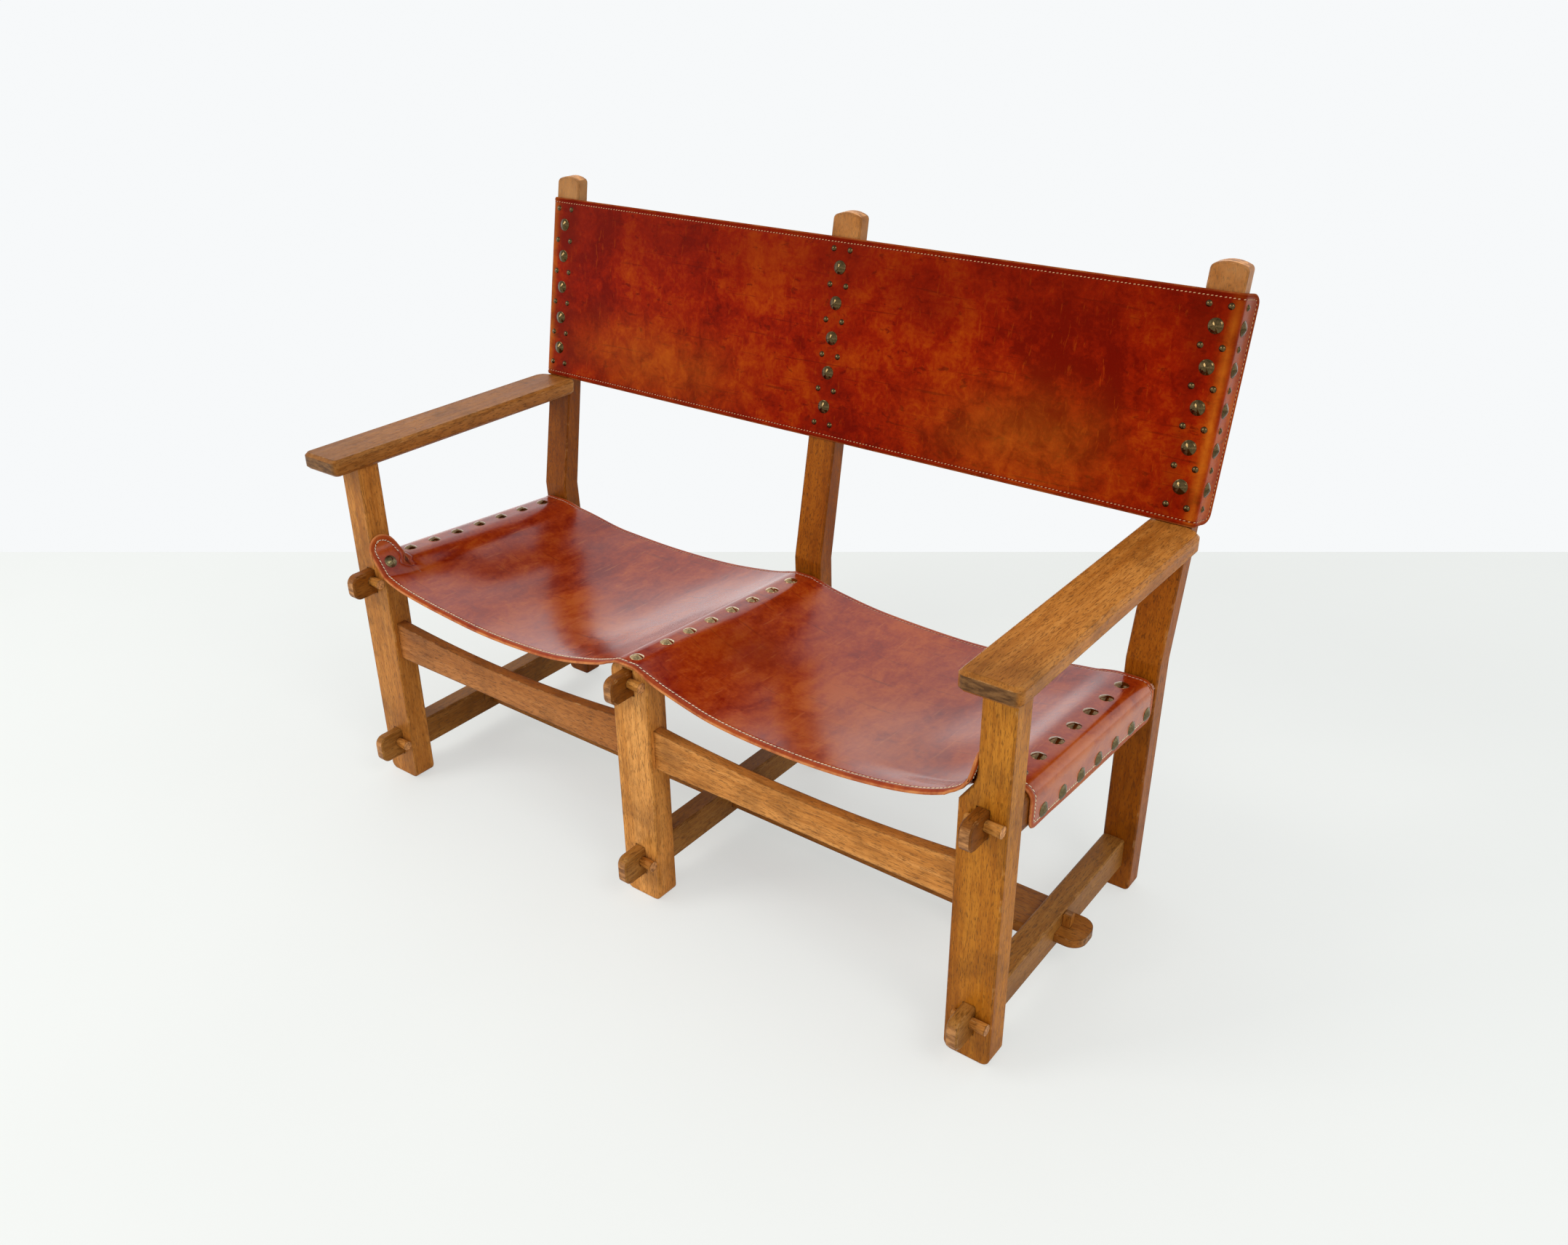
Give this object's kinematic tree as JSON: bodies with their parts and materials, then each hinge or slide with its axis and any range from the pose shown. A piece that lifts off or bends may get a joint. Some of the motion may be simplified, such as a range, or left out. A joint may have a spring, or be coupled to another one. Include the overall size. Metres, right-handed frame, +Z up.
{
  "type": "two-seat settle with slung leather seat",
  "caption": "Two-seat wooden settle, knock-down frame held by through tenons and pegs, with a slung leather seat and a raked nailed leather back between flat arms.",
  "frame": {"origin": "on the floor, under the middle of the bounding box", "axes": "+X to the sitter's left, which is the right side seen from the front, +Y to the back, +Z up"},
  "size_m": [1.326, 0.651, 0.993],
  "materials": {
    "oak": "waxed",
    "seat_hide": "glossy, worn",
    "back_hide": "satin, mottled",
    "bright_brass": "worn",
    "dark_brass": "aged"
  },
  "bodies": {
    "root": {"front_leg_left": "oak", "front_leg_middle": "oak", "front_leg_right": "oak", "rear_post_left": "oak", "rear_post_middle": "oak", "rear_post_right": "oak", "seat_rail_left": "oak", "seat_rail_middle": "oak", "seat_rail_right": "oak", "side_stretcher_left": "oak", "side_stretcher_middle": "oak", "side_stretcher_right": "oak", "long_stretcher": "oak", "long_key_left": "oak", "long_key_right": "oak", "front_rail_left": "oak", "front_rail_right": "oak", "rear_rail_left": "oak", "rear_rail_right": "oak", "arm_left": "oak", "arm_right": "oak", "upper_peg_left": "oak", "upper_peg_middle": "oak", "upper_peg_right": "oak", "lower_peg_left": "oak", "lower_peg_middle": "oak", "lower_peg_right": "oak", "seat_leather": "seat_hide", "back_leather": "back_hide", "seat_nails": "bright_brass", "back_nails": "dark_brass", "back_studs": "dark_brass"}
  },
  "joints": []
}
